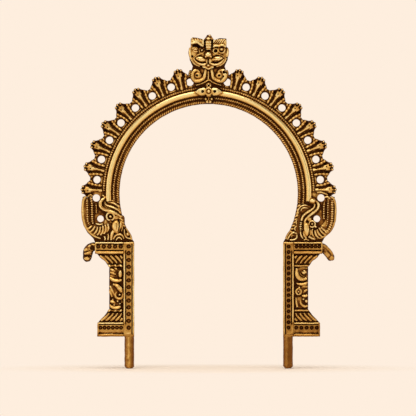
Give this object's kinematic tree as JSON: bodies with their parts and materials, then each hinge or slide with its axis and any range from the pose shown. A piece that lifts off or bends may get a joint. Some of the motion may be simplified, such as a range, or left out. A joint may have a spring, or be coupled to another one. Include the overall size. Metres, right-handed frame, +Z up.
{
  "type": "prabhavali arch",
  "caption": "Brass shrine arch with a pierced flame fringe, beaded mouldings, a crowning mask, beast springers and panelled pilasters that plug into a base on two pegs.",
  "frame": {"origin": "midway between the peg axes, level with the underside of the plinths", "axes": "+Z up, the ornamented front faces -Y, +X to the right as seen from the front"},
  "size_m": [0.1536, 0.0108, 0.2002],
  "materials": {
    "antique_brass": "antique, dark in the recesses and rubbed bright on the high points",
    "bright_brass": "polished",
    "cast_brass": "as cast and filed, dull"
  },
  "bodies": {
    "root": {"arch_band": "antique_brass", "bright_roll": "bright_brass", "outer_bead_wire": "antique_brass", "inner_bead_wire": "antique_brass", "rope_edge": "antique_brass", "fringe_web_left": "antique_brass", "fringe_web_right": "antique_brass", "flame_left_1": "antique_brass", "flame_left_2": "antique_brass", "flame_left_3": "antique_brass", "flame_left_4": "antique_brass", "flame_left_5": "antique_brass", "flame_left_6": "antique_brass", "flame_left_7": "antique_brass", "flame_left_8": "antique_brass", "flame_right_1": "antique_brass", "flame_right_2": "antique_brass", "flame_right_3": "antique_brass", "flame_right_4": "antique_brass", "flame_right_5": "antique_brass", "flame_right_6": "antique_brass", "flame_right_7": "antique_brass", "flame_right_8": "antique_brass", "crown_plate": "antique_brass", "kirtimukha": "antique_brass", "collar_scroll_left": "antique_brass", "collar_scroll_right": "antique_brass", "crown_flower": "antique_brass", "crown_bud": "antique_brass", "springer_left": "antique_brass", "springer_right": "antique_brass", "makara_left": "antique_brass", "makara_right": "antique_brass", "plume_left": "antique_brass", "plume_right": "antique_brass", "edge_cord_left": "antique_brass", "edge_cord_right": "antique_brass", "bracket_left": "cast_brass", "bracket_right": "cast_brass", "upright_left": "antique_brass", "upright_right": "antique_brass", "top_rail_left": "antique_brass", "top_rail_right": "antique_brass", "capital_left": "antique_brass", "capital_right": "antique_brass", "shaft_left": "antique_brass", "shaft_right": "antique_brass", "shaft_scroll_left": "antique_brass", "shaft_scroll_right": "antique_brass", "leaf_base_left": "antique_brass", "leaf_base_right": "antique_brass", "plinth_left": "antique_brass", "plinth_right": "antique_brass"}
  },
  "joints": []
}
